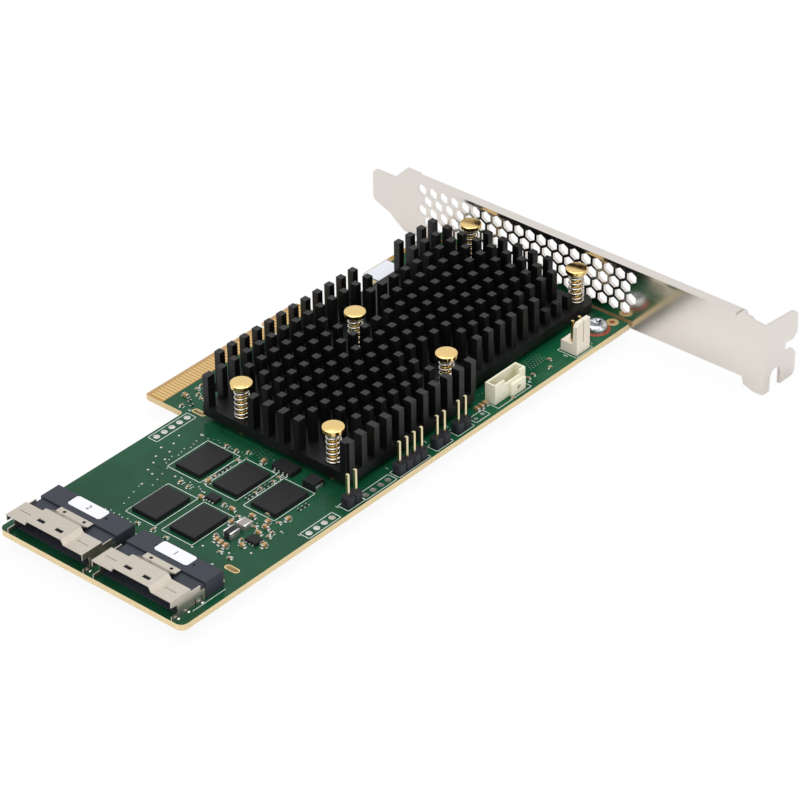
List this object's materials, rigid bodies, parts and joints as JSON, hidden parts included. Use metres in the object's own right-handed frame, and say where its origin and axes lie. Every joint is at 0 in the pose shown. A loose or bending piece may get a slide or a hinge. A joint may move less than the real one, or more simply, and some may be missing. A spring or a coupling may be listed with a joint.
{
  "type": "raid controller card",
  "caption": "Server storage controller board with a black pin-fin heatsink, sprung brass push-pins, cable ports, pin headers and a vented full-height bracket.",
  "frame": {"origin": "centre of the box of the whole card at its lowest edge, with the component face up", "axes": "+X from the cable-port end towards the bracket, +Y across the board towards the gold-finger tab, +Z out of the component face"},
  "size_m": [0.1694, 0.1208, 0.0214],
  "materials": {
    "board_green": "glossy green solder mask",
    "gold_plate": "polished gold plate",
    "bracket_steel": "bright plated sheet",
    "screw_steel": "bright plated",
    "sink_black": "matte black anodised",
    "pin_brass": "turned brass",
    "spring_steel": "bright wire",
    "chip_black": "fine matte moulding",
    "pad_grey": "soft pad",
    "housing_slate": "matte moulding",
    "shell_steel": "satin tin plate",
    "label_white": "smooth matte",
    "header_black": "matte moulding",
    "header_cream": "smooth moulding",
    "ceramic_tan": "smooth fired",
    "resistor_dark": "satin"
  },
  "bodies": {
    "root": {"board_label": "label_white", "bracket": "bracket_steel", "bracket_screws": "screw_steel", "ceramic_capacitors": "ceramic_tan", "chip_inductor": "chip_black", "controller_chip": "chip_black", "edge_contacts": "gold_plate", "flash_chip": "chip_black", "header_base_1": "header_black", "header_base_2": "header_black", "header_base_3": "header_black", "header_base_4": "header_black", "header_pins_1": "gold_plate", "header_pins_2": "gold_plate", "header_pins_3": "gold_plate", "header_pins_4": "gold_plate", "heatsink": "sink_black", "latch_header": "header_cream", "latch_header_pins": "gold_plate", "logic_chip": "chip_black", "memory_chip_1": "chip_black", "memory_chip_2": "chip_black", "memory_chip_3": "chip_black", "memory_chip_4": "chip_black", "memory_chip_5": "chip_black", "pcb": "board_green", "port_contacts_1": "gold_plate", "port_contacts_2": "gold_plate", "port_housing_1": "housing_slate", "port_housing_2": "housing_slate", "port_label_1": "label_white", "port_label_2": "label_white", "port_shell_1": "shell_steel", "port_shell_2": "shell_steel", "power_inductor": "chip_black", "push_pin_springs": "spring_steel", "push_pins": "pin_brass", "regulator_chip": "chip_black", "resistors": "resistor_dark", "shrouded_header": "header_cream", "shrouded_header_pins": "gold_plate", "tantalum_capacitor": "chip_black", "thermal_pad": "pad_grey"}
  },
  "joints": []
}
